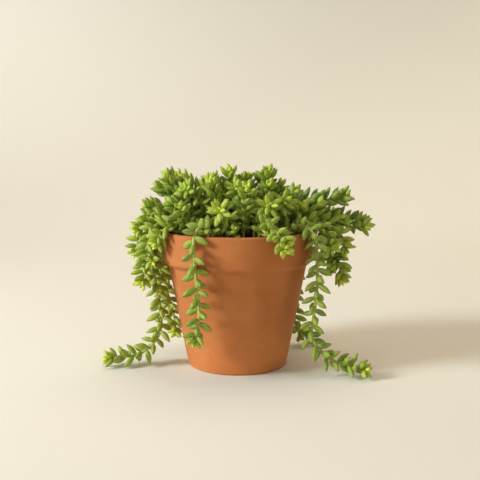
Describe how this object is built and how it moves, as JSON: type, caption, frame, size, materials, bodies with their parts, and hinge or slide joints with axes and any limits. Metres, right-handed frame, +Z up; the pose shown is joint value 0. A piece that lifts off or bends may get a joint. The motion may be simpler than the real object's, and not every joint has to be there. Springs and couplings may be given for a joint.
{
  "type": "potted succulent",
  "caption": "Trailing stonecrop succulent in a collared clay pot with a drain hole. Leafy shoots crown the pot, hang over its rim, and lie along the surface.",
  "frame": {"origin": "On the pot's axis, at the surface that the pot stands on. This is also the bottom centre of the whole object's box", "axes": "+Z up along the pot's axis, -Y towards the front, which has the single hanging shoot, and +X to the right as seen from the front"},
  "size_m": [0.2738, 0.1882, 0.2015],
  "materials": {
    "terracotta": "matt unglazed fired clay",
    "potting_soil": "loose dark mix of peat, composted bark and grit",
    "foliage": "waxy green leaves, yellower at the tips of the shoots"
  },
  "bodies": {
    "root": {"crown_shoot_01": "foliage", "crown_shoot_02": "foliage", "crown_shoot_03": "foliage", "crown_shoot_04": "foliage", "crown_shoot_05": "foliage", "crown_shoot_06": "foliage", "crown_shoot_07": "foliage", "crown_shoot_08": "foliage", "crown_shoot_09": "foliage", "crown_shoot_10": "foliage", "crown_shoot_11": "foliage", "crown_shoot_12": "foliage", "crown_shoot_13": "foliage", "crown_shoot_14": "foliage", "crown_shoot_15": "foliage", "crown_shoot_16": "foliage", "crown_shoot_17": "foliage", "crown_shoot_18": "foliage", "crown_shoot_back_top": "foliage", "crown_shoot_front_star": "foliage", "crown_shoot_left_edge": "foliage", "crown_shoot_left_high": "foliage", "crown_shoot_left_inner": "foliage", "crown_shoot_left_star": "foliage", "crown_shoot_left_top": "foliage", "crown_shoot_left_upper": "foliage", "crown_shoot_middle_left": "foliage", "crown_shoot_middle_right": "foliage", "crown_shoot_middle_star": "foliage", "crown_shoot_middle_top": "foliage", "crown_shoot_right_long": "foliage", "crown_shoot_right_small_star": "foliage", "crown_shoot_right_star": "foliage", "crown_shoot_right_top": "foliage", "crown_shoot_right_upper": "foliage", "drooping_shoot_back": "foliage", "drooping_shoot_back_left": "foliage", "drooping_shoot_back_right": "foliage", "drooping_shoot_front_right": "foliage", "drooping_shoot_left_front": "foliage", "drooping_shoot_left_hanging": "foliage", "drooping_shoot_left_lower": "foliage", "drooping_shoot_left_upper": "foliage", "drooping_shoot_right_front": "foliage", "drooping_shoot_right_lower": "foliage", "drooping_shoot_right_middle": "foliage", "pot": "terracotta", "soil": "potting_soil", "trailing_shoot_back": "foliage", "trailing_shoot_back_left": "foliage", "trailing_shoot_back_right": "foliage", "trailing_shoot_front": "foliage", "trailing_shoot_left": "foliage", "trailing_shoot_left_inner": "foliage", "trailing_shoot_right": "foliage"}
  },
  "joints": []
}
